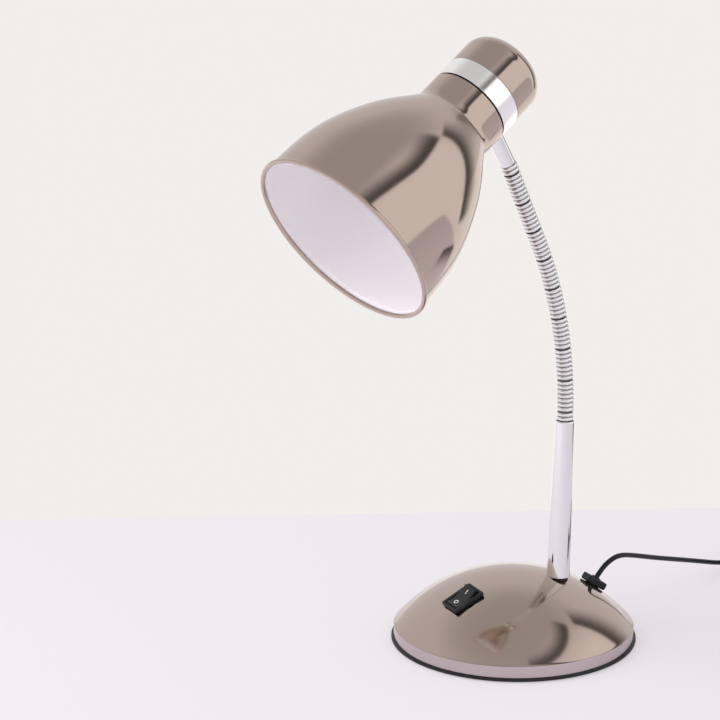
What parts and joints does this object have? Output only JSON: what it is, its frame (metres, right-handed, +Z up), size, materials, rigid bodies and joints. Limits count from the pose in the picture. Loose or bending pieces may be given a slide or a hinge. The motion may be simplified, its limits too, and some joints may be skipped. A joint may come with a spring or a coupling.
{
  "type": "gooseneck desk lamp",
  "caption": "Desk lamp with a bell-shaped dark metal shade on a bright flexible gooseneck and a domed weighted base with a rocker switch.",
  "frame": {"origin": "centre of the base on the table", "axes": "+Z up, the head looks along -Y, +X to the lamp's left side as seen from its front"},
  "size_m": [0.2084, 0.4004, 0.3507],
  "materials": {
    "gunmetal": "polished dark plating",
    "silver_band": "polished",
    "chrome": "mirror",
    "black_plastic": "fine matt",
    "rocker_black": "semi gloss",
    "foam": "foam",
    "iron": "rough",
    "zinc_steel": "zinc plated",
    "brass": "bare",
    "cord_black": "satin sheath",
    "wire_white": "insulation",
    "opal_glass": "opal",
    "holder_white": "moulded",
    "aluminium_cap": "bare"
  },
  "bodies": {
    "base": {"base_shell": "gunmetal", "base_plate": "black_plastic", "foot_pad": "foam", "ballast_disc": "iron", "shell_lugs": "zinc_steel", "base_screws": "zinc_steel", "stem_tube": "chrome", "stem_seat": "black_plastic", "stem_washer": "zinc_steel", "stem_stud": "zinc_steel", "stem_nut": "zinc_steel", "gooseneck_root": "chrome", "switch_housing": "black_plastic", "switch_tabs": "brass", "cord_bushing": "black_plastic", "terminal_block": "holder_white", "base_wires": "wire_white", "cord_run": "cord_black", "cord_coil": "cord_black", "cord_tail": "cord_black", "coil_tie": "black_plastic", "plug_body": "rocker_black", "plug_pins": "brass"},
    "rocker": {"switch_rocker": "rocker_black"},
    "neck_1": {"gooseneck_link_1": "chrome"},
    "neck_2": {"gooseneck_link_2": "chrome"},
    "neck_3": {"gooseneck_link_3": "chrome"},
    "neck_4": {"gooseneck_link_4": "chrome"},
    "neck_5": {"gooseneck_link_5": "chrome"},
    "neck_6": {"gooseneck_link_6": "chrome"},
    "neck_7": {"gooseneck_link_7": "chrome"},
    "neck_8": {"gooseneck_link_8": "chrome"},
    "head": {"gooseneck_tip": "chrome", "neck_stub": "chrome", "stub_nut": "zinc_steel", "band_ring": "silver_band", "shade": "gunmetal", "back_cap": "gunmetal", "holder_body": "holder_white", "holder_bracket": "zinc_steel", "bracket_screws": "zinc_steel", "shade_ring": "holder_white", "thread_sleeve": "brass", "centre_contact": "brass", "head_wires": "wire_white", "bulb_base": "aluminium_cap", "bulb_globe": "opal_glass"}
  },
  "joints": [
    {"name": "rocker_tilt", "type": "hinge", "parent": "base", "child": "rocker", "pos_m": [-0.001, -0.03799, 0.03212], "axis": [0.9836, -0.1679, -0.0656], "range_deg": [-20, 0]},
    {"name": "bend_1", "type": "hinge", "parent": "base", "child": "neck_1", "pos_m": [0.0165, 0.02286, 0.13463], "axis": [1, 0, 0], "range_deg": [-12, 12]},
    {"name": "sway_1", "type": "hinge", "parent": "neck_1", "child": "neck_2", "pos_m": [0.0165, 0.02232, 0.15337], "axis": [0, 0.9974, 0.0718], "range_deg": [-10, 10]},
    {"name": "bend_2", "type": "hinge", "parent": "neck_2", "child": "neck_3", "pos_m": [0.0165, 0.02017, 0.17199], "axis": [1, 0, 0], "range_deg": [-12, 12]},
    {"name": "sway_2", "type": "hinge", "parent": "neck_3", "child": "neck_4", "pos_m": [0.0165, 0.01645, 0.19036], "axis": [0, 0.9706, 0.2407], "range_deg": [-10, 10]},
    {"name": "bend_3", "type": "hinge", "parent": "neck_4", "child": "neck_5", "pos_m": [0.0165, 0.01116, 0.20834], "axis": [1, 0, 0], "range_deg": [-12, 12]},
    {"name": "sway_3", "type": "hinge", "parent": "neck_5", "child": "neck_6", "pos_m": [0.0165, 0.00435, 0.22581], "axis": [0, 0.9154, 0.4026], "range_deg": [-10, 10]},
    {"name": "bend_4", "type": "hinge", "parent": "neck_6", "child": "neck_7", "pos_m": [0.0165, -0.00378, 0.2427], "axis": [1, 0, 0], "range_deg": [-12, 12]},
    {"name": "sway_4", "type": "hinge", "parent": "neck_7", "child": "neck_8", "pos_m": [0.0165, -0.01215, 0.25948], "axis": [0, 0.8949, 0.4462], "range_deg": [-10, 10]},
    {"name": "bend_5", "type": "hinge", "parent": "neck_8", "child": "head", "pos_m": [0.0165, -0.02052, 0.27626], "axis": [1, 0, 0], "range_deg": [-12, 12]}
  ]
}
